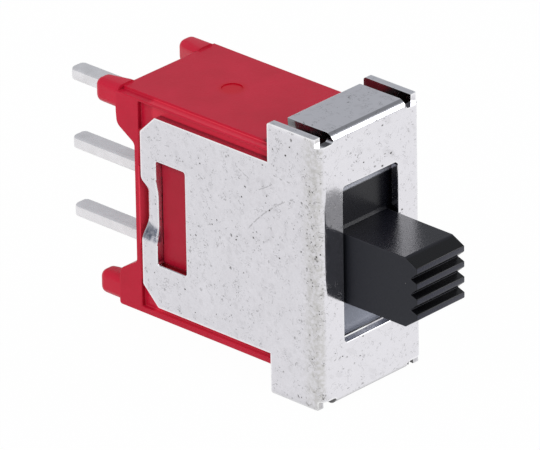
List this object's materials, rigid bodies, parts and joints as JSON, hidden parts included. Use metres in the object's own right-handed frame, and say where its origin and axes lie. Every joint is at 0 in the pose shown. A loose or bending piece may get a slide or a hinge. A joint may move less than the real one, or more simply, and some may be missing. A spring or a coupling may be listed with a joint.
{
  "type": "slide switch",
  "caption": "Miniature slide switch: a folded metal bracket crimped over a red moulded base, a ridged black knob in its window, flat solder terminals and stand-off feet behind.",
  "frame": {"origin": "on the middle terminal's axis, in the plane of the stand-off feet's rear faces, where the circuit board lies", "axes": "+Y along the terminals, away from the knob; +Z along the slider's travel, towards the end that the picture shows on top; +X across the switch"},
  "size_m": [0.005, 0.0164, 0.0098],
  "materials": {
    "tinned_steel": "bright tin plate with fine dark specks",
    "red_resin": "satin moulded",
    "black_nylon": "satin moulded",
    "tinned_brass": "tin plate over brass",
    "silver": "silver plate over copper alloy",
    "spring_steel": "drawn wire"
  },
  "bodies": {
    "housing": {"bracket": "tinned_steel", "base": "red_resin", "terminal_top": "tinned_brass", "terminal_middle": "tinned_brass", "terminal_bottom": "tinned_brass", "contact_top": "silver", "contact_bottom": "silver"},
    "slider": {"slider": "black_nylon", "plunger_spring": "spring_steel"},
    "plunger": {"plunger": "silver"},
    "rocker": {"rocker": "silver"}
  },
  "joints": [
    {"name": "slider_slide", "type": "slide", "parent": "housing", "child": "slider", "axis": [0, 0, 1], "range_m": [-0.00134, 0.0017]},
    {"name": "plunger_slide", "type": "slide", "parent": "slider", "child": "plunger", "axis": [0, -1, 0], "range_m": [0, 0.0003], "stiffness_N_per_m": 200, "springref_m": -0.0005, "deforming": ["plunger_spring"]},
    {"name": "rocker_pivot", "type": "hinge", "parent": "housing", "child": "rocker", "pos_m": [0, -0.00493, 0], "axis": [-1, 0, 0], "range_deg": [-7.4, 8.9]}
  ],
  "couplings": [
    {"joint": "rocker_pivot", "follows": "slider_slide", "rad_per_m": 90.08}
  ]
}
